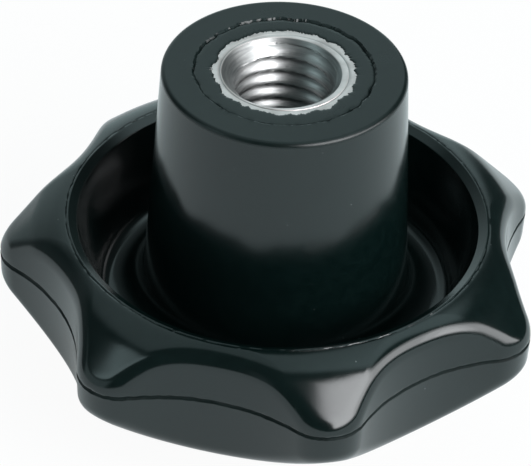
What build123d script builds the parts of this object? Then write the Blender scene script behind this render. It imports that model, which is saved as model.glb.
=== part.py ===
from build123d import *
import math
import os

# Star knob, hub upwards, resting on its domed grip face.  Millimetres, +Z up.
# The origin is the centre of the small flat on which the dome rests; the hub axis is Z.

# ---- grip ------------------------------------------------------------------
lobe_count = 7
lobe_phase = -77.1          # direction of the first lobe, degrees from +X
tip_radius = 30.0           # hub axis to the tip of a lobe
nose_radius = 4.6           # rounding of a lobe's tip, seen from above
scallop_depth = 5.0         # from the tips' circle to the bottom of a scallop
parting_height = 14.6       # plane where the two mould halves meet
upper_half_height = 6.2     # from the parting plane to the crest of the ring round the cavity
parting_line_width = 0.3    # fine groove left where the halves of the mould met
parting_line_depth = 0.12
flank_draft = 2.5           # degrees, away from the parting plane on both sides
lower_flank_height = 3.2    # from the domed grip face's edge at the tips to the parting plane
rest_flat_radius = 6.0      # flat in the middle of the dome
fall_angle = 44.0           # degrees by which the lobes' tops fall towards their tips
tip_rise = 1.1              # lobes' tops at the tips, above the parting plane
upper_edge_radius = 2.5     # rounding between flanks and lobe tops
lower_edge_radius = 2.4     # rounding between flanks and dome

# ---- cavity round the hub --------------------------------------------------
ring_width = 2.4            # from the bottom of a scallop to the cavity's edge
crest_inset = 0.2           # the crown starts this far inside the cavity's edge
cavity_depth = 9.8          # from the ring's crest to the floor
cavity_wall_taper = 3.7     # how much smaller the cavity is at its floor, along the radius
cavity_chamfer = 0.9        # along the radius
cavity_chamfer_drop = 0.5   # along the height

# ---- hub -------------------------------------------------------------------
hub_end_height = 40.0
hub_end_radius = 13.0       # at the end face, before its edge is rounded
hub_taper = 1.5             # how much larger the hub is at the cavity's floor, along the radius
hub_edge_radius = 0.5       # round the end face
core_mark_radius = 9.5      # step left by the mould's core pin round the bushing
core_mark_depth = 0.1

# ---- threaded bushing, moulded in ------------------------------------------
bushing_radius = 8.0
bushing_length = 24.0
bushing_sink = 0.1          # bushing's face below the plastic round it
flash_lip_radius = 7.6      # plastic that crept over the edge of the bushing's face
knurl_count = 30
knurl_depth = 0.4
knurl_length = 8.0
groove_depth = 1.0
groove_length = 2.0
thread_core_radius = 5.1    # tapping size of an M12 thread
bore_depth = 20.0           # full bore, without the drill's point
drill_point_angle = 118.0
countersink_radius = 6.4

lobe_step = 360 / lobe_count
valley_radius = tip_radius - scallop_depth
rim_height = parting_height + upper_half_height
cavity_radius = valley_radius - ring_width
crest_radius = cavity_radius - crest_inset
cavity_floor_radius = cavity_radius - cavity_wall_taper
cavity_floor_height = rim_height - cavity_depth
hub_base_radius = hub_end_radius + hub_taper
floor_width = cavity_floor_radius - hub_base_radius
cavity_foot_radius = 0.34 * floor_width
hub_foot_radius = 0.74 * floor_width
hub_face_height = hub_end_height - core_mark_depth
bushing_top = hub_face_height - bushing_sink
bushing_bottom = bushing_top - bushing_length
drill_point_height = thread_core_radius / math.tan(math.radians(drill_point_angle / 2))

# the dome passes through the edge of its middle flat and through the flanks' lower edge at the tips
dome_rise = parting_height - lower_flank_height
dome_centre_height = (tip_radius**2 + dome_rise**2 - rest_flat_radius**2) / (2 * dome_rise)
dome_radius = math.hypot(rest_flat_radius, dome_centre_height)

# the crown rolls from level at the ring's crest into a straight fall that ends at the tips
fall = math.radians(fall_angle)
crown_radius = (
    (tip_radius - crest_radius) * math.tan(fall) - (upper_half_height - tip_rise)
) / (math.sin(fall) * math.tan(fall) + math.cos(fall) - 1)


def polar(radius, angle):
    """Point in a horizontal plane, angle in degrees from +X."""
    return Vector(radius * math.cos(math.radians(angle)), radius * math.sin(math.radians(angle)))


def star_face(height, inset=0.0):
    """Star outline at a height: convex noses and concave scallops, all tangent."""
    nose_centre = tip_radius - nose_radius
    half_step = math.radians(lobe_step / 2)
    # scallop arc tangent to the noses on both sides of it
    scallop = (
        (nose_centre**2 + valley_radius**2 - nose_radius**2)
        - 2 * nose_centre * valley_radius * math.cos(half_step)
    ) / (2 * (nose_radius + nose_centre * math.cos(half_step) - valley_radius))
    nose = nose_radius - inset
    with BuildSketch(Plane.XY.offset(height)) as face:
        with BuildLine():
            for lobe in range(lobe_count):
                tip_angle = lobe_phase + lobe * lobe_step
                centre = polar(nose_centre, tip_angle)
                before = polar(valley_radius + scallop, tip_angle - lobe_step / 2) - centre
                after = polar(valley_radius + scallop, tip_angle + lobe_step / 2) - centre
                start = centre + before.normalized() * nose
                end = centre + after.normalized() * nose
                next_centre = polar(nose_centre, tip_angle + lobe_step)
                back = polar(valley_radius + scallop, tip_angle + lobe_step / 2) - next_centre
                next_start = next_centre + back.normalized() * nose
                valley = polar(valley_radius - inset, tip_angle + lobe_step / 2)
                ThreePointArc(start, polar(tip_radius - inset, tip_angle), end)
                ThreePointArc(end, valley, next_start)
        make_face()
    return face.sketch


# ---- bushing ---------------------------------------------------------------
with BuildPart() as bushing_blank:
    with BuildSketch(Plane.XY.offset(bushing_bottom)):
        Circle(bushing_radius)
    extrude(amount=bushing_length)
    # retention groove turned above the knurl
    with BuildSketch(Plane.XY.offset(bushing_bottom + knurl_length)):
        Circle(bushing_radius)
        Circle(bushing_radius - groove_depth, mode=Mode.SUBTRACT)
    extrude(amount=groove_length, mode=Mode.SUBTRACT)
    # straight knurl below the groove
    with BuildSketch(Plane.XY.offset(bushing_bottom)):
        with PolarLocations(bushing_radius, knurl_count):
            Rectangle(2 * knurl_depth / math.sqrt(2), 2 * knurl_depth / math.sqrt(2), rotation=45)
    extrude(amount=knurl_length, mode=Mode.SUBTRACT)

with BuildPart() as threaded_insert:
    add(bushing_blank.part)
    with BuildSketch(Plane.XZ):
        with BuildLine():
            Polyline(
                (0, bushing_top),
                (countersink_radius, bushing_top),
                (thread_core_radius, bushing_top - (countersink_radius - thread_core_radius)),
                (thread_core_radius, bushing_top - bore_depth),
                (0, bushing_top - bore_depth - drill_point_height),
                close=True,
            )
        make_face()
    revolve(axis=Axis.Z, mode=Mode.SUBTRACT)

# ---- knob body -------------------------------------------------------------
draft_slope = math.tan(math.radians(flank_draft))
blank_margin = 0.5          # how far the turned blank and the cuts reach past the finished shape
blank_radius = tip_radius + blank_margin


def dome_point(radius):
    """Point of the dome's profile at a distance from the hub axis."""
    return (radius, dome_centre_height - math.sqrt(dome_radius**2 - radius**2))


def hub_radius(height):
    """Radius of the drafted hub at a height."""
    share = (height - cavity_floor_height) / (hub_end_height - cavity_floor_height)
    return hub_base_radius + share * (hub_end_radius - hub_base_radius)


# star prism, widest at the parting plane and drafted away from it on both sides
with BuildPart() as star_prism:
    lower_inset = parting_height * draft_slope
    upper_inset = (rim_height - parting_height) * draft_slope
    loft([star_face(0, lower_inset), star_face(parting_height)], ruled=True)
    loft([star_face(parting_height), star_face(rim_height, upper_inset)], ruled=True)

with BuildPart() as knob_body:
    # turned blank of the grip: flat, dome, side, straight fall, crown, ring's crest
    with BuildSketch(Plane.XZ):
        with BuildLine():
            Line((0, 0), (rest_flat_radius, 0))
            ThreePointArc(
                dome_point(rest_flat_radius),
                dome_point((rest_flat_radius + blank_radius) / 2),
                dome_point(blank_radius),
            )
            crown = CenterArc((crest_radius, rim_height - crown_radius), crown_radius, 90, -fall_angle)
            blank_edge = (blank_radius, parting_height + tip_rise - blank_margin * math.tan(fall))
            Polyline(crown @ 1, blank_edge, dome_point(blank_radius))
            Polyline(crown @ 0, (0, rim_height), (0, 0))
        make_face()
    revolve(axis=Axis.Z)
    add(star_prism.part, mode=Mode.INTERSECT)

    # soft edges all round, where the flanks meet the shoulder and the dome
    flanks = knob_body.faces().filter_by(lambda face: abs(face.normal_at().Z) < 0.3)
    above = flanks.edges().filter_by(lambda edge: min((edge @ 0).Z, (edge @ 1).Z) > parting_height + 0.1)
    fillet(above, upper_edge_radius)
    flanks = knob_body.faces().filter_by(lambda face: abs(face.normal_at().Z) < 0.3)
    below = flanks.edges().filter_by(lambda edge: max((edge @ 0).Z, (edge @ 1).Z) < parting_height - 0.1)
    fillet(below, lower_edge_radius)

    # parting line
    with BuildSketch(Plane.XY.offset(parting_height - parting_line_width / 2)):
        Circle(tip_radius + parting_line_depth)
        add(star_face(0, parting_line_depth), mode=Mode.SUBTRACT)
    extrude(amount=parting_line_width, mode=Mode.SUBTRACT)

    # hub
    with BuildSketch(Plane.XZ) as hub_section:
        with BuildLine():
            Polyline(
                (0, cavity_floor_height),
                (hub_base_radius, cavity_floor_height),
                (hub_end_radius, hub_end_height),
                (0, hub_end_height),
                close=True,
            )
        make_face()
        fillet(hub_section.vertices().group_by(Axis.Y)[-1].sort_by(Axis.X)[-1], hub_edge_radius)
    revolve(axis=Axis.Z)

    # cavity round the hub, cut from just above the ring's crest
    cavity_top = rim_height + blank_margin
    with BuildSketch(Plane.XZ) as cavity_section:
        with BuildLine():
            Polyline(
                (hub_base_radius, cavity_floor_height),
                (cavity_floor_radius, cavity_floor_height),
                (cavity_radius - cavity_chamfer, rim_height - cavity_chamfer_drop),
                (cavity_radius, rim_height),
                (cavity_radius, cavity_top),
                (hub_radius(cavity_top), cavity_top),
                close=True,
            )
        make_face()
        fillet(cavity_section.vertices().group_by(Axis.Y)[0].sort_by(Axis.X)[-1], cavity_foot_radius)
        fillet(cavity_section.vertices().group_by(Axis.Y)[0].sort_by(Axis.X)[0], hub_foot_radius)
    revolve(axis=Axis.Z, mode=Mode.SUBTRACT)

    # step left by the core pin, opening over the bushing's face, and the bushing's seat
    with BuildSketch(Plane.XY.offset(hub_face_height)):
        Circle(core_mark_radius)
    extrude(amount=core_mark_depth, mode=Mode.SUBTRACT)
    with BuildSketch(Plane.XY.offset(bushing_top)):
        Circle(flash_lip_radius)
    extrude(amount=bushing_sink, mode=Mode.SUBTRACT)
    add(bushing_blank.part, mode=Mode.SUBTRACT)

# ---- one file for each piece -----------------------------------------------
os.makedirs("parts", exist_ok=True)
knob_body.part.label = "knob_body"
export_step(knob_body.part, "parts/knob_body.step")
threaded_insert.part.label = "threaded_insert"
export_step(threaded_insert.part, "parts/threaded_insert.step")
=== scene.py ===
import math

import bpy
import numpy as np
from mathutils import Matrix, Vector


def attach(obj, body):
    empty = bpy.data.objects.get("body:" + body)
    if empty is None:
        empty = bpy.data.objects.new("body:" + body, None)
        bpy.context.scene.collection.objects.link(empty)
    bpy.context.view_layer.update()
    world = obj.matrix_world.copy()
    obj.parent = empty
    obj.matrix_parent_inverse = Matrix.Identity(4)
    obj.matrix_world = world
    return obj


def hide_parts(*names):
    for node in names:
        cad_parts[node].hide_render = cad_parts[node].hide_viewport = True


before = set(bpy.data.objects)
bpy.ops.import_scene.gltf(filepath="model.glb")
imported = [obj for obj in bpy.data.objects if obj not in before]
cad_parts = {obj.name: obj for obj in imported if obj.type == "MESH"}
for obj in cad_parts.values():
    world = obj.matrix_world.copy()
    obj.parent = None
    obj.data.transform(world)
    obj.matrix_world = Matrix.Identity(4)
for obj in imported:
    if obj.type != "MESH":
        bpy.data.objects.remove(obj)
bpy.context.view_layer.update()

MM = 0.001

# ---- sizes in millimetres, the same as the solids' where no comment says otherwise ----
LOBE_COUNT = 7
LOBE_STEP = math.radians(360 / LOBE_COUNT)
LOBE_PHASE = math.radians(-77.1)
TIP_RADIUS = 30.0
NOSE_RADIUS = 4.6
NOSE_CENTRE = TIP_RADIUS - NOSE_RADIUS
VALLEY_RADIUS = 25.0          # hub axis to the bottom of a scallop
PARTING_HEIGHT = 14.6
RIM_HEIGHT = 20.8
DRAFT = math.radians(2.5)
REST_FLAT_RADIUS = 6.0
LOWER_FLANK = 3.2             # height of the flanks below the parting plane, at the tips
DOME_RISE = PARTING_HEIGHT - LOWER_FLANK
TIP_RISE = 1.1
FALL = math.radians(44.0)
UPPER_EDGE = 2.5
LOWER_EDGE = 2.4

CAVITY_RADIUS = 22.6
CREST_RADIUS = 22.4
RING_RADIUS = 23.1            # mesh only: the crown's last row, just outside the cavity's edge
CAVITY_FLOOR_RADIUS = 18.9
CAVITY_FLOOR_HEIGHT = 11.0
CAVITY_FOOT = 1.496
HUB_FOOT = 3.256
CHAMFER_WIDTH = 0.9
CHAMFER_DROP = 0.5

HUB_BASE_RADIUS = 14.5
HUB_END_RADIUS = 13.0
HUB_END_HEIGHT = 40.0
HUB_EDGE = 0.5
CORE_MARK_RADIUS = 9.5
CORE_MARK_DEPTH = 0.1

BUSHING_RADIUS = 8.0
BUSHING_TOP = 39.8
BUSHING_BOTTOM = 15.8
FLASH_LIP_RADIUS = 7.5        # middle of the ragged lip; the solid's plain lip is at 7.6
KNURL_COUNT = 30
KNURL_DEPTH = 0.4
KNURL_TOP = 23.8
GROOVE_TOP = 25.8
GROOVE_RADIUS = 7.0
BORE_BOTTOM = 19.8
DRILL_POINT = 3.06
COUNTERSINK_RADIUS = 6.4
COUNTERSINK_SHIFT = -0.3      # scene only: it was cut a little off the hub axis, towards -X

# ---- sizes of what is left to this scene, in millimetres -------------------
THREAD_CREST_RADIUS = 5.1
THREAD_ROOT_RADIUS = 6.05
THREAD_PITCH = 1.75
THREAD_PHASE = 0.495          # turns by which the helix is shifted, as the photo's crests ask
THREAD_RISE = 0.66            # share of the pitch that the worn upper flank takes
THREAD_STRAIGHT = 0.35        # share of the upper flank's rise that is straight, not curved
RUNOUT_START = 1.0            # height above the bore's bottom where the thread starts to cut
RUNOUT_LENGTH = 2.5
COUNTERSINK_LAND = 0.03       # from the countersink's edge to the row outside it
# radius and depth of the bushing's face, with its fine turned groove
FACE_PROFILE = ((7.2, 0.0), (6.92, 0.0), (6.86, 0.07), (6.78, 0.07), (6.74, 0.0))

PARTING_LINE_HALF = 0.13      # half the width of the parting line's groove
PARTING_LINE_DEPTH = 0.12
PARTING_LINE_REACH = 0.4      # rows nearer than this to the parting plane are moved
PARTING_LINE_SPREAD = 0.25    # half of how much wider the groove is on its wide side, as a share
PARTING_LINE_NARROW = math.radians(-30)  # direction in which the groove is narrowest
CORE_LINE_GAP = 0.24          # from the cavity's edge to the line that the core left
CORE_LINE_HALF = 0.05
CORE_LINE_DEPTH = 0.03
MARK_HEAVY = math.radians(60)            # direction in which the core pin's mark is deepest
MARK_WIDTH = 0.08
MARK_HEAVY_WIDTH = 0.10       # added to the width on the heavy side
MARK_PIT = 0.03
MARK_HEAVY_PIT = 0.09         # added to the depth on the heavy side
MARK_DEEPEST = 0.12           # most that unevenness adds to the depth
BURR_HIGHEST = 0.03
# distance out from the mark's edge, and share of the burr's height
BURR_PROFILE = ((0.3, 0.0), (0.12, 0.4), (0.0, 1.0))
# share of the mark's width out from its middle, and share of its pit's depth
MARK_PROFILE = ((0.2, 0.8), (0.0, 1.0), (-0.6, 0.3))
# distance out from the lip, and depth below the face round it
LIP_PROFILE = ((0.4, 0.0), (0.2, 0.01), (0.06, 0.04), (0.0, 0.1))

DOME_CENTRE = (TIP_RADIUS**2 + DOME_RISE**2 - REST_FLAT_RADIUS**2) / (2 * DOME_RISE)
DOME_RADIUS = math.hypot(REST_FLAT_RADIUS, DOME_CENTRE)
CROWN_DROP = RIM_HEIGHT - PARTING_HEIGHT - TIP_RISE
CROWN_RADIUS = ((TIP_RADIUS - CREST_RADIUS) * math.tan(FALL) - CROWN_DROP) / (
    math.sin(FALL) * math.tan(FALL) + math.cos(FALL) - 1
)

# ---- the meshes' grids -----------------------------------------------------
NOSE_COLUMNS = 20             # from a lobe's tip to where its nose meets the scallop
SCALLOP_COLUMNS = 30          # from there to the bottom of the scallop
COLUMNS = LOBE_COUNT * 2 * (NOSE_COLUMNS + SCALLOP_COLUMNS)
FLAT_RADII = (2.0, 4.0, 5.9)
DOME_ROWS = 12
CROWN_ROWS = 14
EDGE_STEPS = 9                # of the roundings between the flanks and the turned faces
EDGE_GAP = 0.2                # between the crown's last row and where a rounding is cut short
EDGE_LEAD = 0.2               # from the cavity's edge to the point before its rounding
FLANK_REACHES = (0.06, 0.11, 0.16, 0.22, 0.3, 0.5, 1.4)
SEARCH_MARGIN = 4.0           # past the parting plane, where the search for a ball's height starts
HEIGHT_HALVINGS = 50
SHARE_HALVINGS = 30
ROW_SUPPORT = 0.08            # from a rounding to the rows that hold it
EDGE_BREAK = 0.12             # rounding of the cavity's edge and of its chamfer
BREAK_STEPS = 3
CAVITY_FOOT_STEPS = 10
HUB_FOOT_STEPS = 16
HUB_EDGE_STEPS = 7
SHARP_ANGLE = math.radians(50)
COLUMNS_PER_TOOTH = 8
BUSHING_COLUMNS = KNURL_COUNT * COLUMNS_PER_TOOTH
THREAD_ROWS_PER_TURN = 24
THREAD_LEAD = 0.05            # from the bushing's face to the bore's first row
# plain rows beside the core pin's mark and the lip, as distances out from their circles
END_FACE_ROW = 1.0
MARK_OUTER_ROW = 0.9
MARK_FOOT_ROW = -0.15
MARK_INNER_ROW = -0.6
LIP_OUTER_ROW = 1.1

# ---- bands of faces of the body that don't have the polished skin ----------
END_FACE_SLOT = 1
TORN_SLOT = 2
HUB_EDGE_BANDS = HUB_EDGE_STEPS + 3     # the rounding round the end face, with its supports
MARK_FIRST_BAND = 5           # bands of the end face at the bottom of the core pin's mark
MARK_END_BAND = 7
PARTING_BANDS = 4             # on each side of the parting plane


# ---- wobble and grid helpers -----------------------------------------------
def ripple(angles, seed, first, last, size):
    """Repeatable wobble round the hub axis, made of harmonics first to last."""
    random = np.random.default_rng(seed)
    orders = np.arange(first, last + 1)
    phases = random.uniform(0, 2 * math.pi, len(orders))
    weights = random.normal(0, 1, len(orders)) / np.sqrt(orders)
    value = (weights * np.cos(np.outer(angles, orders) + phases)).sum(axis=1)
    return size * value / value.std()


def turned_row(angles, radius, height):
    """One closed row of points round the hub axis."""
    radius = np.broadcast_to(radius, angles.shape)
    height = np.broadcast_to(height, angles.shape)
    return np.stack([radius * np.cos(angles), radius * np.sin(angles), height], axis=1)


def grid_object(name, rows, low_centre, high_centre):
    """Closed mesh through rows of points, with a fan to the axis at both ends."""
    columns = len(rows[0])
    points = np.concatenate([[(0, 0, low_centre)], *rows, [(0, 0, high_centre)]]) * MM
    last = len(points) - 1
    faces = []
    for column in range(columns):
        beside = (column + 1) % columns
        faces.append((0, 1 + beside, 1 + column))
        for row in range(len(rows) - 1):
            base = 1 + row * columns
            above = base + columns
            faces.append((base + column, base + beside, above + beside, above + column))
        top = 1 + (len(rows) - 1) * columns
        faces.append((top + column, top + beside, last))
    mesh = bpy.data.meshes.new(name)
    mesh.from_pydata(points.tolist(), [], faces)
    mesh.shade_smooth()
    mesh.set_sharp_from_angle(angle=SHARP_ANGLE)
    piece = bpy.data.objects.new(name, mesh)
    bpy.context.scene.collection.objects.link(piece)
    return piece


def arc_shares(share, turn):
    """Weights of an arc's first and last radius at a share of its turn."""
    return np.sin((1 - share) * turn) / np.sin(turn), np.sin(share * turn) / np.sin(turn)


def rounded_line(corners):
    """Points of a polyline whose corners (r, z, radius, steps) are rounded."""
    points = [np.array(corners[0][:2])]
    for before, corner, after in zip(corners, corners[1:], corners[2:]):
        here = np.array(corner[:2])
        back = np.array(before[:2]) - here
        ahead = np.array(after[:2]) - here
        back = back / np.linalg.norm(back)
        ahead = ahead / np.linalg.norm(ahead)
        half = math.acos(float(back @ ahead)) / 2
        reach = corner[2] / math.tan(half)
        middle = (back + ahead) / np.linalg.norm(back + ahead)
        centre = here + middle * corner[2] / math.sin(half)
        start = here + back * reach - centre
        end = here + ahead * reach - centre
        points.append(here + back * (reach + ROW_SUPPORT))
        for step in range(corner[3] + 1):
            first, second = arc_shares(step / corner[3], math.pi - 2 * half)
            points.append(centre + first * start + second * end)
        points.append(here + ahead * (reach + ROW_SUPPORT))
    points.append(np.array(corners[-1][:2]))
    return points


# ---- star grip -------------------------------------------------------------
def scallop_radius():
    """Radius of the scallop arc that is tangent to the noses on both sides of it."""
    nose_reach = NOSE_CENTRE * math.cos(LOBE_STEP / 2)
    squares = NOSE_CENTRE**2 + VALLEY_RADIUS**2 - NOSE_RADIUS**2
    room = NOSE_RADIUS + nose_reach - VALLEY_RADIUS
    return (squares - 2 * nose_reach * VALLEY_RADIUS) / (2 * room)


def turned(angle):
    """Matrix that turns row vectors by an angle."""
    return np.array([[math.cos(angle), math.sin(angle)], [-math.sin(angle), math.cos(angle)]])


def unit_rows(angles):
    """Unit vectors at these angles, as rows."""
    return np.stack([np.cos(angles), np.sin(angles)], axis=1)


def all_round(half_lobe):
    """Rows from a lobe's tip to a scallop's bottom, mirrored and repeated for every lobe."""
    mirrored = half_lobe[-2:0:-1] * np.array([1, -1]) @ turned(LOBE_STEP)
    whole = np.concatenate([half_lobe, mirrored])
    lobes = [LOBE_PHASE + lobe * LOBE_STEP for lobe in range(LOBE_COUNT)]
    return np.concatenate([whole @ turned(lobe) for lobe in lobes])


def star_columns():
    """Outline of the star at the parting plane: points, outward normals, even angles."""
    half = LOBE_STEP / 2
    scallop = scallop_radius()
    scallop_centre = (VALLEY_RADIUS + scallop) * np.array([math.cos(half), math.sin(half)])
    meeting = math.atan2(scallop_centre[1], scallop_centre[0] - NOSE_CENTRE)
    nose_normals = unit_rows(np.linspace(0, meeting, NOSE_COLUMNS, endpoint=False))
    nose_points = np.array([NOSE_CENTRE, 0]) + NOSE_RADIUS * nose_normals
    scallop_normals = unit_rows(np.linspace(meeting, half, SCALLOP_COLUMNS + 1))
    scallop_points = scallop_centre - scallop * scallop_normals
    points = all_round(np.concatenate([nose_points, scallop_points]))
    normals = all_round(np.concatenate([nose_normals, scallop_normals]))
    even = LOBE_PHASE + np.arange(COLUMNS) * 2 * math.pi / COLUMNS
    return points, normals, even


def top_profile(radius, height):
    """Depth below the turned top of the grip, and the tilt of its normal from +Z."""
    across = radius - CREST_RADIUS
    up = height - (RIM_HEIGHT - CROWN_RADIUS)
    tilt = np.clip(np.arctan2(across, up), 0, FALL)
    return CROWN_RADIUS - across * np.sin(tilt) - up * np.cos(tilt), tilt


def top_height(radius):
    """Height of the turned top of the grip at a radius."""
    across = np.clip(radius - CREST_RADIUS, 0, CROWN_RADIUS * math.sin(FALL))
    arc = RIM_HEIGHT - CROWN_RADIUS + np.sqrt(CROWN_RADIUS**2 - across**2)
    beyond = np.maximum(radius - CREST_RADIUS - CROWN_RADIUS * math.sin(FALL), 0)
    return arc - beyond * math.tan(FALL)


def dome_profile(radius, height):
    """Depth inside the dome, and the tilt of its normal from -Z."""
    down = DOME_CENTRE - height
    return DOME_RADIUS - np.hypot(radius, down), np.arctan2(radius, down)


def dome_height(radius):
    """Height of the domed face at a radius."""
    return DOME_CENTRE - np.sqrt(DOME_RADIUS**2 - radius**2)


def ball_path(points, normals, ball, profile, side):
    """Centre of a ball that touches the flanks and a turned surface, and that surface's tilt."""
    near = np.full(len(points), PARTING_HEIGHT - side * SEARCH_MARGIN)
    far = np.full(len(points), RIM_HEIGHT if side > 0 else 0.0)
    for _ in range(HEIGHT_HALVINGS):
        height = (near + far) / 2
        inset = ball / math.cos(DRAFT) + side * (height - PARTING_HEIGHT) * math.tan(DRAFT)
        centre = points - normals * inset[:, None]
        depth, tilt = profile(np.linalg.norm(centre, axis=1), height)
        near = np.where(depth > ball, height, near)
        far = np.where(depth > ball, far, height)
    return np.column_stack([centre, height]), tilt


def rolled_edge(points, normals, ball, profile, side, inner_radius):
    """Rows of the rounding that a ball leaves between the flanks and a turned surface.

    They stop at the contact line, or at a circle where that comes first.
    """
    centre, tilt = ball_path(points, normals, ball, profile, side)
    rise = np.full(len(points), side * math.sin(DRAFT))
    flank = np.column_stack([normals * math.cos(DRAFT), rise])
    radial = centre[:, :2] / np.linalg.norm(centre[:, :2], axis=1)[:, None]
    turned_normal = np.column_stack([radial * np.sin(tilt)[:, None], side * np.cos(tilt)])
    turn = np.arccos((flank * turned_normal).sum(axis=1))

    def arc(share):
        """Points of the rounding at a share of the way from the flank to the contact line."""
        start, end = arc_shares(share, turn)
        return centre + ball * (flank * start[:, None] + turned_normal * end[:, None])

    outside = np.zeros(len(points))
    last = np.ones(len(points))
    for _ in range(SHARE_HALVINGS):
        share = (outside + last) / 2
        inside = np.linalg.norm(arc(share)[:, :2], axis=1) < inner_radius
        last = np.where(inside, share, last)
        outside = np.where(inside, outside, share)
    return [arc(last * step / EDGE_STEPS) for step in range(EDGE_STEPS + 1)]


def flank_rows(points, normals, contact, side):
    """Rows of a flank from the parting plane to the edge rounding's contact line."""
    gap = np.abs(contact[:, 2] - PARTING_HEIGHT)
    rows = []
    for index, reach in enumerate(FLANK_REACHES):
        rise = np.minimum(reach, gap * (index + 1) / (len(FLANK_REACHES) + 1))
        plan = points - normals * (rise * math.tan(DRAFT))[:, None]
        rows.append(np.column_stack([plan, PARTING_HEIGHT + side * rise]))
    return rows


def turned_rows(contact, angles, radius, shares, height_at):
    """Rows on a turned surface from a contact line to points at these angles on a circle."""
    start_radius = np.linalg.norm(contact[:, :2], axis=1)
    lead = np.arctan2(contact[:, 1], contact[:, 0]) - angles
    start_angle = angles + (lead + math.pi) % (2 * math.pi) - math.pi
    rows = []
    for share in shares:
        row_radius = start_radius + share * (radius - start_radius)
        row_angle = start_angle + share * (angles - start_angle)
        rows.append(turned_row(row_angle, row_radius, height_at(row_radius)))
    return rows


def cut_parting_line(rows, normals, even):
    """Ragged groove along the plane where the mould halves met, wider on the left."""
    shift = ripple(even, seed=3, first=20, last=200, size=0.03)
    half = PARTING_LINE_HALF + np.abs(ripple(even, seed=4, first=12, last=200, size=0.03))
    uneven = ripple(even, seed=5, first=6, last=150, size=0.04)
    depth = PARTING_LINE_DEPTH + np.clip(uneven, -0.06, 0.08)
    turn = even - PARTING_LINE_NARROW
    spread = PARTING_LINE_SPREAD - PARTING_LINE_SPREAD * np.cos(turn)
    spread = spread + np.abs(ripple(even, seed=6, first=20, last=200, size=0.1))
    for row in rows:
        away = row[:, 2] - PARTING_HEIGHT
        row[:, :2] -= normals * (depth * np.exp(-((away / half) ** 4)))[:, None]
        row[:, 2] += (away * spread + shift) * np.exp(-((away / PARTING_LINE_REACH) ** 2))


def core_line_rows(angles):
    """Fine ragged line that the core left just outside the cavity's edge."""
    middle = CAVITY_RADIUS + CORE_LINE_GAP + ripple(angles, seed=21, first=3, last=60, size=0.02)
    uneven = np.abs(ripple(angles, seed=22, first=5, last=150, size=0.025))
    width = CORE_LINE_HALF + np.clip(uneven, 0, 0.07)
    depth = CORE_LINE_DEPTH + np.abs(ripple(angles, seed=23, first=5, last=200, size=0.035))
    levels = (
        (middle + width, top_height(middle + width)),
        (middle, top_height(middle) - depth),
        (middle - width, RIM_HEIGHT),
    )
    return [turned_row(angles, radius, height) for radius, height in levels]


def round_ring(rows, centre, tilt):
    """Carry the scallops' rounding on over the ring's rows, where it reaches past them."""
    inset = UPPER_EDGE / math.cos(DRAFT) + (centre[:, 2] - PARTING_HEIGHT) * math.tan(DRAFT)
    contact_radius = np.linalg.norm(centre[:, :2], axis=1) + UPPER_EDGE * np.sin(tilt)
    scallop = scallop_radius()
    reach = VALLEY_RADIUS + scallop
    for row in rows:
        radius = np.linalg.norm(row[:, :2], axis=1)
        angle = np.arctan2(row[:, 1], row[:, 0]) - LOBE_PHASE
        from_valley = angle % LOBE_STEP - LOBE_STEP / 2
        squares = radius**2 + reach**2 - 2 * radius * reach * np.cos(from_valley)
        across = np.clip(inset - (np.sqrt(squares) - scallop), 0, UPPER_EDGE / 2)
        rounding = centre[:, 2] + np.sqrt(UPPER_EDGE**2 - across**2)
        drop = np.maximum(top_height(radius) - rounding, 0)
        row[:, 2] -= np.where(radius > contact_radius, drop, 0)


def crown_rows(points, normals, contact):
    """Rows of the grip's top from the rounding to the cavity's edge, and their last angles."""
    centre, tilt = ball_path(points, normals, UPPER_EDGE, top_profile, 1)
    angles = np.unwrap(np.arctan2(centre[:, 1], centre[:, 0]))
    shares = np.linspace(0, 1, CROWN_ROWS + 1)[1:]
    rows = turned_rows(contact, angles, RING_RADIUS, shares, top_height)
    rows += core_line_rows(angles)
    round_ring(rows, centre, tilt)
    return rows, angles


def grip_rows():
    """Rows of the grip from the resting flat over the flanks to the cavity's edge.

    Also returned are the last row's angles, and how many rows lie below the parting plane.
    """
    points, normals, even = star_columns()
    lower = rolled_edge(points, normals, LOWER_EDGE, dome_profile, -1, REST_FLAT_RADIUS)
    upper = rolled_edge(points, normals, UPPER_EDGE, top_profile, 1, RING_RADIUS + EDGE_GAP)
    flat = [turned_row(even, radius, 0.0) for radius in FLAT_RADII]
    shares = np.linspace(1, 0, DOME_ROWS + 1)[:-1]
    dome = turned_rows(lower[-1], even, REST_FLAT_RADIUS, shares, dome_height)
    below = flank_rows(points, normals, lower[0], -1)
    above = flank_rows(points, normals, upper[0], 1)
    middle = [np.column_stack([points, np.full(len(points), PARTING_HEIGHT)])]
    side = lower[::-1] + below[::-1] + middle + above + upper
    cut_parting_line(side, normals, even)
    crown, angles = crown_rows(points, normals, upper[-1])
    return flat + dome + side + crown, angles, len(flat + dome + lower + below)


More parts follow.
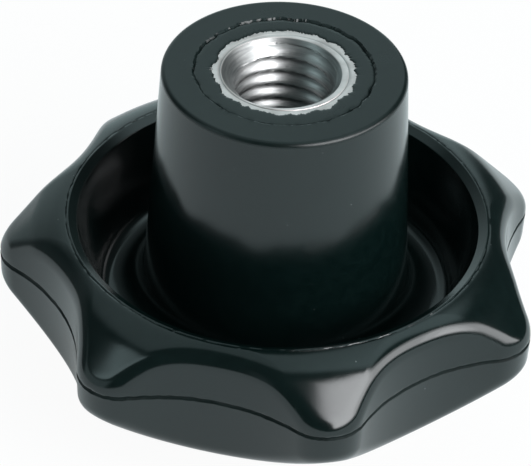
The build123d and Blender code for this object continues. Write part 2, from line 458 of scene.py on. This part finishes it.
# ---- cavity and hub --------------------------------------------------------
def cavity_rows(angles):
    """Rows from the cavity's edge down its wall, over the floor and up to the end face."""
    chamfer_radius = CAVITY_RADIUS - CHAMFER_WIDTH
    chamfer_height = RIM_HEIGHT - CHAMFER_DROP
    line = rounded_line(
        [
            (CAVITY_RADIUS + EDGE_LEAD, RIM_HEIGHT),
            (CAVITY_RADIUS, RIM_HEIGHT, EDGE_BREAK, BREAK_STEPS),
            (chamfer_radius, chamfer_height, EDGE_BREAK, BREAK_STEPS),
            (CAVITY_FLOOR_RADIUS, CAVITY_FLOOR_HEIGHT, CAVITY_FOOT, CAVITY_FOOT_STEPS),
            (HUB_BASE_RADIUS, CAVITY_FLOOR_HEIGHT, HUB_FOOT, HUB_FOOT_STEPS),
            (HUB_END_RADIUS, HUB_END_HEIGHT, HUB_EDGE, HUB_EDGE_STEPS),
            (CORE_MARK_RADIUS + END_FACE_ROW, HUB_END_HEIGHT),
        ]
    )
    # the first two points lie on the ring, where the core line's rows are
    return [turned_row(angles, radius, height) for radius, height in line[2:]]


def core_mark_levels(angles):
    """Radius and height of the ragged mark that the core pin left in the end face."""
    heavy = 0.5 + 0.5 * np.cos(angles - MARK_HEAVY)
    mark = CORE_MARK_RADIUS + ripple(angles, seed=11, first=2, last=30, size=0.06)
    mark = mark + ripple(angles, seed=12, first=30, last=200, size=0.025)
    uneven = np.abs(ripple(angles, seed=13, first=3, last=90, size=0.05))
    width = MARK_WIDTH + MARK_HEAVY_WIDTH * heavy + uneven
    uneven = ripple(angles, seed=14, first=3, last=70, size=0.05)
    pit = MARK_PIT + MARK_HEAVY_PIT * heavy + np.clip(uneven, -MARK_PIT, MARK_DEEPEST)
    uneven = ripple(angles, seed=15, first=8, last=190, size=0.02)
    burr = (1 - heavy) * np.clip(uneven, 0, BURR_HIGHEST)
    low = HUB_END_HEIGHT - CORE_MARK_DEPTH
    foot = mark + width * MARK_PROFILE[-1][0] + MARK_FOOT_ROW
    levels = [(CORE_MARK_RADIUS + MARK_OUTER_ROW, HUB_END_HEIGHT)]
    levels += [(mark + width + out, HUB_END_HEIGHT + burr * share) for out, share in BURR_PROFILE]
    levels += [(mark + width * out, low - pit * share) for out, share in MARK_PROFILE]
    return levels + [(foot, low), (CORE_MARK_RADIUS + MARK_INNER_ROW, low)]


def flash_lip_levels(angles):
    """Radius and height of the plastic that thins out raggedly over the bushing's face."""
    lip = FLASH_LIP_RADIUS + ripple(angles, seed=16, first=3, last=25, size=0.11)
    lip = lip + ripple(angles, seed=17, first=26, last=200, size=0.07)
    low = HUB_END_HEIGHT - CORE_MARK_DEPTH
    levels = [(FLASH_LIP_RADIUS + LIP_OUTER_ROW, low)]
    return levels + [(lip + out, low - drop) for out, drop in LIP_PROFILE]


def end_face_rows(angles):
    """Rows of the end face, from outside the core pin's mark to the lip over the bushing."""
    levels = core_mark_levels(angles) + flash_lip_levels(angles)
    return [turned_row(angles, radius, height) for radius, height in levels]


def seat_rows(angles):
    """Rows of the seat that the bushing is moulded into."""
    corners = ((BUSHING_RADIUS, BUSHING_TOP), (BUSHING_RADIUS, BUSHING_BOTTOM))
    return [turned_row(angles, radius, height) for radius, height in corners]


def make_body():
    """Grip and hub in one moulding, with the material slot of each band of its faces."""
    grip, angles, middle_row = grip_rows()
    moulding = grip + cavity_rows(angles)
    rows = moulding + end_face_rows(angles) + seat_rows(angles)
    piece = grid_object("moulded_body", rows, 0.0, BUSHING_BOTTOM)
    slots = np.zeros(len(rows) + 1, dtype=np.int32)
    slots[len(moulding) - HUB_EDGE_BANDS :] = END_FACE_SLOT
    slots[len(moulding) + MARK_FIRST_BAND : len(moulding) + MARK_END_BAND] = TORN_SLOT
    slots[1 + middle_row - PARTING_BANDS : 1 + middle_row + PARTING_BANDS] = TORN_SLOT
    piece.data.polygons.foreach_set("material_index", np.tile(slots, COLUMNS))
    return piece


# ---- threaded bushing ------------------------------------------------------
def knurl_radius(angles):
    """Bushing's radius round the straight knurl."""
    pitch = 2 * math.pi / KNURL_COUNT
    arc = np.abs((angles + pitch / 2) % pitch - pitch / 2) * BUSHING_RADIUS
    return BUSHING_RADIUS - np.clip(KNURL_DEPTH - arc, 0, None)


def thread_radius(angles, height):
    """Radius of the thread along its helix: worn upper flank, root, steep lower flank."""
    phase = (height / THREAD_PITCH - angles / (2 * math.pi) + THREAD_PHASE) % 1.0
    rise = phase / THREAD_RISE
    upper = THREAD_STRAIGHT * rise + (1 - THREAD_STRAIGHT) * rise**2
    lower = (1 - phase) / (1 - THREAD_RISE)
    runout = np.clip((height - BORE_BOTTOM - RUNOUT_START) / RUNOUT_LENGTH, 0, 1)
    depth = THREAD_ROOT_RADIUS - THREAD_CREST_RADIUS
    return THREAD_CREST_RADIUS + depth * np.minimum(upper, lower) * runout


def bore_rows(angles):
    """Rows of the countersink and the helical thread, down to the drilled bottom."""
    step = THREAD_PITCH / THREAD_ROWS_PER_TURN
    shift = COUNTERSINK_SHIFT * np.cos(angles)
    edge = COUNTERSINK_RADIUS + shift
    rows = [turned_row(angles, edge + COUNTERSINK_LAND, BUSHING_TOP)]
    for height in np.arange(BUSHING_TOP - THREAD_LEAD, BORE_BOTTOM, -step):
        cone = edge - (BUSHING_TOP - height)
        radius = np.maximum(thread_radius(angles, height), cone)
        rows.append(turned_row(angles, radius, height))
    rows.append(turned_row(angles, THREAD_CREST_RADIUS, BORE_BOTTOM))
    return rows


def make_bushing():
    """Steel bushing with knurl, retention groove, groove in its face, countersink and thread."""
    angles = np.arange(BUSHING_COLUMNS) * 2 * math.pi / BUSHING_COLUMNS
    knurled = knurl_radius(angles)
    rows = [
        turned_row(angles, knurled, BUSHING_BOTTOM),
        turned_row(angles, knurled, KNURL_TOP),
        turned_row(angles, GROOVE_RADIUS, KNURL_TOP),
        turned_row(angles, GROOVE_RADIUS, GROOVE_TOP),
        turned_row(angles, BUSHING_RADIUS, GROOVE_TOP),
        turned_row(angles, BUSHING_RADIUS, BUSHING_TOP),
    ]
    rows += [turned_row(angles, radius, BUSHING_TOP - depth) for radius, depth in FACE_PROFILE]
    rows += bore_rows(angles)
    return grid_object("threaded_bushing", rows, BUSHING_BOTTOM, BORE_BOTTOM - DRILL_POINT)


# ---- colours and skins -----------------------------------------------------
PLASTIC_DARK = (0.0015, 0.0050, 0.0047)
PLASTIC_LIGHT = (0.0024, 0.0068, 0.0064)
DUST = (0.09, 0.10, 0.10)
SKIN_TINT = (0.96, 0.99, 1.0, 1)
# steel colours, each a pair for the streaks: the face's are painted lighter as painted light, the
# bore's painted darker as painted shade
SMEARED_LIT_DARK = (0.64, 0.57, 0.56)
SMEARED_LIT_LIGHT = (0.94, 0.86, 0.85)
CUT_SHADED_DARK = (0.28, 0.29, 0.29)
CUT_SHADED_LIGHT = (0.48, 0.49, 0.49)
FLOOR_DARK = (0.76, 0.86, 0.88)
FLOOR_LIGHT = (0.79, 0.89, 0.91)
BORE_ROUGHNESS = 0.36
FACE_ROUGHNESS = 0.5
# between these depths the face's painted light fades into the bore's painted shade
FACE_FADE = (0.1, 0.02)       # depths below the bushing's face between which its colour changes

# name, roughness, height of the waves and of the grain in metres, index of refraction; one
# for each material slot: polished skin, dull end face, torn skin
PLASTIC_SKINS = (
    ("black_plastic", 0.15, 0.000005, 0.0000006, 1.55),
    ("black_plastic_end", 0.30, 0.000006, 0.000002, 1.47),
    ("black_plastic_torn", 0.6, 0.000006, 0.000003, 1.25),
)

# sockets of a Mix node that is set to colours
MIX_FACTOR = 0
MIX_FIRST = 6
MIX_SECOND = 7
MIX_RESULT = 2


# ---- node helpers ----------------------------------------------------------
def new_material(name):
    """Node material with its Principled shader, and its nodes and links."""
    material = bpy.data.materials.new(name)
    material.use_nodes = True
    return material, material.node_tree.nodes, material.node_tree.links


def noise_node(nodes, links, scale, detail):
    """Noise over the object's own coordinates, which are in metres."""
    place = nodes.new("ShaderNodeTexCoord")
    noise = nodes.new("ShaderNodeTexNoise")
    noise.inputs["Scale"].default_value = scale
    noise.inputs["Detail"].default_value = detail
    links.new(place.outputs["Object"], noise.inputs["Vector"])
    return noise


def ramp_node(nodes, links, source, low, high, start, end):
    """Colour ramp from start to end between two values of its source."""
    ramp = nodes.new("ShaderNodeValToRGB")
    ramp.color_ramp.elements[0].position = low
    ramp.color_ramp.elements[0].color = (*start, 1)
    ramp.color_ramp.elements[1].position = high
    ramp.color_ramp.elements[1].color = (*end, 1)
    links.new(source, ramp.inputs["Fac"])
    return ramp.outputs["Color"]


def range_node(nodes, links, source, low, high, start, end):
    """Value mapped from one range to another."""
    span = nodes.new("ShaderNodeMapRange")
    span.inputs["From Min"].default_value = low
    span.inputs["From Max"].default_value = high
    span.inputs["To Min"].default_value = start
    span.inputs["To Max"].default_value = end
    links.new(source, span.inputs["Value"])
    return span


def bump_node(nodes, links, source, distance):
    """Bump of a height given in metres."""
    bump = nodes.new("ShaderNodeBump")
    bump.inputs["Strength"].default_value = 1.0
    bump.inputs["Distance"].default_value = distance
    links.new(source, bump.inputs["Height"])
    return bump


def calculated(nodes, links, operation, first, second):
    """Result of a two-sided calculation; each side is an outlet or a number."""
    node = nodes.new("ShaderNodeMath")
    node.operation = operation
    for inlet, side in zip(node.inputs, (first, second)):
        if isinstance(side, float):
            inlet.default_value = side
        else:
            links.new(side, inlet)
    return node.outputs[0]


def product(nodes, links, first, second):
    """First times second."""
    return calculated(nodes, links, "MULTIPLY", first, second)


def brighter(nodes, links, first, second):
    """Larger of first and second."""
    return calculated(nodes, links, "MAXIMUM", first, second)


def mixed_colour(nodes, links, share, first, second):
    """Colour between two outlets, by a share from the first to the second."""
    mix = nodes.new("ShaderNodeMix")
    mix.data_type = "RGBA"
    links.new(share, mix.inputs[MIX_FACTOR])
    links.new(first, mix.inputs[MIX_FIRST])
    links.new(second, mix.inputs[MIX_SECOND])
    return mix.outputs[MIX_RESULT]


# ---- materials -------------------------------------------------------------
def dust_colour(nodes, links, base):
    """Base colour with sparse light specks of dust."""
    place = nodes.new("ShaderNodeTexCoord")
    cells = nodes.new("ShaderNodeTexVoronoi")
    cells.inputs["Scale"].default_value = 900.0
    links.new(place.outputs["Object"], cells.inputs["Vector"])
    distance = cells.outputs["Distance"]
    near = range_node(nodes, links, distance, low=0.04, high=0.09, start=1.0, end=0.0)
    draw = cells.outputs["Color"]
    chosen = range_node(nodes, links, draw, low=0.80, high=0.90, start=0.0, end=1.0)
    mix = nodes.new("ShaderNodeMix")
    mix.data_type = "RGBA"
    mix.inputs[MIX_SECOND].default_value = (*DUST, 1)
    both = product(nodes, links, near.outputs["Result"], chosen.outputs["Result"])
    links.new(both, mix.inputs[MIX_FACTOR])
    links.new(base, mix.inputs[MIX_FIRST])
    return mix.outputs[MIX_RESULT]


def black_plastic(name, roughness, wave, grain, refraction):
    """Black phenolic moulding: deep colour, skin with slight waves and fine grain."""
    material, nodes, links = new_material(name)
    shader = nodes["Principled BSDF"]
    mottle = noise_node(nodes, links, scale=900.0, detail=3.0).outputs["Fac"]
    colour = ramp_node(
        nodes, links, mottle, low=0.35, high=0.7, start=PLASTIC_DARK, end=PLASTIC_LIGHT
    )
    links.new(dust_colour(nodes, links, colour), shader.inputs["Base Color"])
    haze = noise_node(nodes, links, scale=160.0, detail=4.0).outputs["Fac"]
    smoothest = roughness * 0.8
    roughest = roughness * 1.25
    gloss = range_node(nodes, links, haze, low=0.3, high=0.7, start=smoothest, end=roughest)
    links.new(gloss.outputs["Result"], shader.inputs["Roughness"])
    waves = noise_node(nodes, links, scale=220.0, detail=1.0)
    swell = bump_node(nodes, links, waves.outputs["Fac"], wave)
    skin = noise_node(nodes, links, scale=5200.0, detail=2.0)
    fine = bump_node(nodes, links, skin.outputs["Fac"], grain)
    links.new(swell.outputs["Normal"], fine.inputs["Normal"])
    links.new(fine.outputs["Normal"], shader.inputs["Normal"])
    shader.inputs["IOR"].default_value = refraction
    shader.inputs["Specular Tint"].default_value = SKIN_TINT
    return material


def bushing_steel():
    """Tapped steel with streaks round the bore, and a duller face with smear marks; its colour is
    painted lighter on the face as painted light and darker in the bore as painted shade.
    """
    material, nodes, links = new_material("bushing_steel")
    shader = nodes["Principled BSDF"]
    place = nodes.new("ShaderNodeTexCoord")
    stretch = nodes.new("ShaderNodeMapping")
    stretch.inputs["Scale"].default_value = (1.0, 1.0, 14.0)
    links.new(place.outputs["Object"], stretch.inputs["Vector"])
    marks = nodes.new("ShaderNodeTexNoise")
    marks.inputs["Scale"].default_value = 420.0
    marks.inputs["Detail"].default_value = 5.0
    links.new(stretch.outputs["Vector"], marks.inputs["Vector"])
    streaks = marks.outputs["Fac"]
    # streaked colour of the face, painted lighter as painted light, and of the bore, painted
    # darker as painted shade
    face_painted_lit = ramp_node(
        nodes, links, streaks, low=0.3, high=0.75, start=SMEARED_LIT_DARK, end=SMEARED_LIT_LIGHT
    )
    bore_painted_shade = ramp_node(nodes, links, streaks, low=0.3, high=0.75, start=CUT_SHADED_DARK, end=CUT_SHADED_LIGHT)
    # share of the face by height, which swaps the bore's painted shade for the face's painted
    # light
    split = nodes.new("ShaderNodeSeparateXYZ")
    links.new(place.outputs["Object"], split.inputs["Vector"])
    low = (BUSHING_TOP - FACE_FADE[0]) * MM
    high = (BUSHING_TOP - FACE_FADE[1]) * MM
    face = range_node(nodes, links, split.outputs["Z"], low, high, 0.0, 1.0).outputs["Result"]
    links.new(mixed_colour(nodes, links, face, bore_painted_shade, face_painted_lit), shader.inputs["Base Color"])
    dull = range_node(nodes, links, face, 0.0, 1.0, BORE_ROUGHNESS, FACE_ROUGHNESS)
    links.new(dull.outputs["Result"], shader.inputs["Roughness"])
    bump = bump_node(nodes, links, streaks, distance=0.000008)
    links.new(bump.outputs["Normal"], shader.inputs["Normal"])
    shader.inputs["Metallic"].default_value = 1.0
    return material


def white_share(nodes, links):
    """Share of plain white that the floor shows to camera, glossy and transmission rays."""
    path = nodes.new("ShaderNodeLightPath")
    outlets = (("Is Camera Ray", 0.95), ("Is Glossy Ray", 0.3), ("Is Transmission Ray", 0.95))
    total = None
    for outlet, share in outlets:
        part = nodes.new("ShaderNodeMath")
        part.operation = "MULTIPLY_ADD"
        part.inputs[1].default_value = share
        part.inputs[2].default_value = 0.0
        links.new(path.outputs[outlet], part.inputs[0])
        if total is not None:
            links.new(total, part.inputs[2])
        total = part.outputs[0]
    return total


def floor_white():
    """White floor that keeps a soft shadow of the object."""
    material, nodes, links = new_material("floor_white")
    shader = nodes["Principled BSDF"]
    mottle = noise_node(nodes, links, scale=8.0, detail=2.0)
    fac = mottle.outputs["Fac"]
    colour = ramp_node(nodes, links, fac, low=0.3, high=0.7, start=FLOOR_DARK, end=FLOOR_LIGHT)
    links.new(colour, shader.inputs["Base Color"])
    shader.inputs["Roughness"].default_value = 0.9
    shader.inputs["Specular IOR Level"].default_value = 0.0
    glow = nodes.new("ShaderNodeEmission")
    mix = nodes.new("ShaderNodeMixShader")
    links.new(white_share(nodes, links), mix.inputs[0])
    links.new(shader.outputs[0], mix.inputs[1])
    links.new(glow.outputs[0], mix.inputs[2])
    links.new(mix.outputs[0], nodes["Material Output"].inputs["Surface"])
    return material


# ---- studio, in metres -----------------------------------------------------
FLOOR_REACH = 0.4
FLOOR_HEIGHT = -2e-5          # just under the part, so that the two don't share a plane
KEY_AZIMUTH = -55
KEY_TINT = (1.0, 0.99, 1.0)
ROOM_TINT = (0.78, 1.0, 1.02, 1)
ROOM_LEAST = 0.07             # strength of the room where nothing pale stands
CAMERA_PLACE = (-0.00125, -0.34340, 0.28629)
CAMERA_PITCH = math.radians(37.97)
CAMERA_ROLL = math.radians(2.60)
SENSOR_WIDTH = 36.0           # millimetres, like the focal length
FOCAL_LENGTH = 272.72


def make_floor():
    """Plain pale floor."""
    mesh = bpy.data.meshes.new("floor")
    plan = ((-1, -1), (1, -1), (1, 1), (-1, 1))
    corners = [(x * FLOOR_REACH, y * FLOOR_REACH, FLOOR_HEIGHT) for x, y in plan]
    mesh.from_pydata(corners, [], [(0, 1, 2, 3)])
    floor = bpy.data.objects.new("floor", mesh)
    floor.data.materials.append(floor_white())
    bpy.context.scene.collection.objects.link(floor)


def level_direction(azimuth):
    """Level unit vector towards an azimuth from +X, in degrees."""
    turn = math.radians(azimuth)
    return Vector((math.cos(turn), math.sin(turn), 0))


def wall_panel(name, distance, left, right, low, high, radiance):
    """Upright rectangular lamp that faces the object; left and right as seen from there."""
    out = level_direction(KEY_AZIMUTH)
    along = level_direction(KEY_AZIMUTH + 90)
    lamp = bpy.data.lights.new(name, "AREA")
    lamp.shape = "RECTANGLE"
    width = right - left
    height = high - low
    lamp.size = width
    lamp.size_y = height
    lamp.energy = radiance * math.pi * width * height
    lamp.color = KEY_TINT
    box = bpy.data.objects.new(name, lamp)
    middle = Vector((0, 0, (low + high) / 2))
    box.location = out * distance + along * (left + right) / 2 + middle
    box.rotation_euler = out.to_track_quat("Z", "Y").to_euler()
    box.visible_camera = False
    bpy.context.scene.collection.objects.link(box)


def make_lamps():
    """Wide softbox on the right in front, in panels that overlap where it is brighter."""
    # name, distance, left, right, low and high edges, radiance
    wall_panel("key_wide", 0.70, -0.135, 1.35, 0.10, 0.82, 1.1)
    wall_panel("key_tall", 0.705, -0.135, 0.36, 0.16, 1.0, 3.4)
    wall_panel("key_left", 0.71, -0.136, 0.42, 0.13, 0.93, 2.2)
    wall_panel("key_near", 0.715, -0.137, 0.48, 0.2, 0.86, 1.5)
    wall_panel("key_upper", 0.72, 0.12, 0.40, 0.9, 1.09, 4.0)
    wall_panel("key_long", 0.71, 0.38, 1.33, 0.13, 0.76, 1.4)
    wall_panel("key_low", 0.715, 0.42, 1.30, 0.17, 0.61, 2.4)


def smooth(nodes, links, source, low, high):
    """Soft step from zero at low to one at high."""
    step = range_node(nodes, links, source, low, high, 0.0, 1.0)
    step.interpolation_type = "SMOOTHSTEP"
    return step.outputs["Result"]


def band(nodes, links, source, low, high, soft):
    """One between two values of its source, zero outside, with soft edges."""
    rise = smooth(nodes, links, source, low - soft, low + soft)
    fall = smooth(nodes, links, source, high + soft, high - soft)
    return product(nodes, links, rise, fall)


def level_x(nodes, links, view):
    """X of a view direction's level part, brought to unit length."""
    flat = nodes.new("ShaderNodeVectorMath")
    flat.operation = "MULTIPLY"
    flat.inputs[1].default_value = (1, 1, 0)
    links.new(view, flat.inputs[0])
    level = nodes.new("ShaderNodeVectorMath")
    level.operation = "NORMALIZE"
    links.new(flat.outputs["Vector"], level.inputs[0])
    around = nodes.new("ShaderNodeSeparateXYZ")
    links.new(level.outputs["Vector"], around.inputs["Vector"])
    return around.outputs[0]


def wall_behind(nodes, links, around, y, z):
    """Pale wall behind: dim far left, brightest in the middle, none on the right."""
    left_of_end = smooth(nodes, links, around, low=0.34, high=0.20)
    ahead = smooth(nodes, links, y, low=0.0, high=0.2)
    behind = product(nodes, links, left_of_end, ahead)
    wall = range_node(nodes, links, around, low=-0.88, high=-0.15, start=0.14, end=1.1)
    fade = range_node(nodes, links, z, low=0.35, high=0.6, start=1.0, end=0.62)
    lit = product(nodes, links, wall.outputs["Result"], fade.outputs["Result"])
    return product(nodes, links, behind, lit)


def roof_above(nodes, links, x, y, z):
    """Reflector overhead, brighter towards the right."""
    high_up = smooth(nodes, links, z, low=0.68, high=0.82)
    beyond = smooth(nodes, links, y, low=-0.32, high=-0.12)
    above = product(nodes, links, high_up, beyond)
    roof = range_node(nodes, links, x, low=-0.05, high=0.35, start=0.55, end=1.2)
    return product(nodes, links, above, roof.outputs["Result"])


def patch_on_left(nodes, links, x, y, z):
    """Wide, low pale patch on the left."""
    wide = band(nodes, links, y, low=-0.78, high=0.04, soft=0.08)
    tall = band(nodes, links, z, low=-0.1, high=0.43, soft=0.05)
    patch = product(nodes, links, wide, tall)
    patch = product(nodes, links, patch, smooth(nodes, links, x, low=-0.5, high=-0.7))
    return product(nodes, links, patch, 0.6)


def lamp_on_left(nodes, links, x, y, z):
    """Small bright lamp high on the left."""
    wide = band(nodes, links, y, low=-0.47, high=-0.185, soft=0.01)
    tall = band(nodes, links, z, low=0.51, high=0.67, soft=0.02)
    lamp = product(nodes, links, wide, tall)
    lamp = product(nodes, links, lamp, smooth(nodes, links, x, low=-0.4, high=-0.5))
    return product(nodes, links, lamp, 2.0)


def room_light(nodes, links):
    """Strength of the dim room, from the direction in which it is seen."""
    place = nodes.new("ShaderNodeTexCoord")
    towards = nodes.new("ShaderNodeSeparateXYZ")
    links.new(place.outputs["Generated"], towards.inputs["Vector"])
    x, y, z = towards.outputs
    around = level_x(nodes, links, place.outputs["Generated"])
    total = wall_behind(nodes, links, around, y, z)
    total = brighter(nodes, links, total, roof_above(nodes, links, x, y, z))
    total = brighter(nodes, links, total, patch_on_left(nodes, links, x, y, z))
    total = brighter(nodes, links, total, lamp_on_left(nodes, links, x, y, z))
    return brighter(nodes, links, total, ROOM_LEAST)


def make_world():
    """White to the camera, dim grey room to the object."""
    world = bpy.data.worlds.new("studio")
    world.use_nodes = True
    bpy.context.scene.world = world
    nodes = world.node_tree.nodes
    links = world.node_tree.links
    room = nodes["Background"]
    room.inputs["Color"].default_value = ROOM_TINT
    links.new(room_light(nodes, links), room.inputs["Strength"])
    white = nodes.new("ShaderNodeBackground")
    white.inputs["Color"].default_value = (1, 1, 1, 1)
    path = nodes.new("ShaderNodeLightPath")
    mix = nodes.new("ShaderNodeMixShader")
    links.new(path.outputs["Is Camera Ray"], mix.inputs[0])
    links.new(room.outputs[0], mix.inputs[1])
    links.new(white.outputs[0], mix.inputs[2])
    links.new(mix.outputs[0], nodes["World Output"].inputs["Surface"])


def make_camera():
    """Long lens from the front, looking down at the hub's end face."""
    forward = Vector((0, math.cos(CAMERA_PITCH), -math.sin(CAMERA_PITCH)))
    right = Vector((1, 0, 0))
    up = right.cross(forward)
    side = math.cos(CAMERA_ROLL) * right + math.sin(CAMERA_ROLL) * up
    upward = math.cos(CAMERA_ROLL) * up - math.sin(CAMERA_ROLL) * right
    lens = bpy.data.cameras.new("camera")
    lens.sensor_width = SENSOR_WIDTH
    lens.lens = FOCAL_LENGTH
    lens.clip_start = 0.01
    camera = bpy.data.objects.new("camera", lens)
    columns = Matrix((side, upward, -forward)).transposed()
    camera.matrix_world = Matrix.Translation(Vector(CAMERA_PLACE)) @ columns.to_4x4()
    bpy.context.scene.collection.objects.link(camera)
    bpy.context.scene.camera = camera


# ---- assembly --------------------------------------------------------------
def dress_body():
    """Moulded body in place of its solid."""
    body = make_body()
    for name, roughness, wave, grain, refraction in PLASTIC_SKINS:
        skin = black_plastic(name, roughness, wave, grain, refraction)
        body.data.materials.append(skin)
    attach(body, "root")
    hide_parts("knob_body")


def dress_bushing():
    """Threaded bushing in place of its solid."""
    bushing = make_bushing()
    bushing.data.materials.append(bushing_steel())
    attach(bushing, "root")
    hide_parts("threaded_insert")


dress_body()
dress_bushing()
make_floor()
make_lamps()
make_world()
make_camera()
bpy.context.scene.view_settings.view_transform = "Standard"
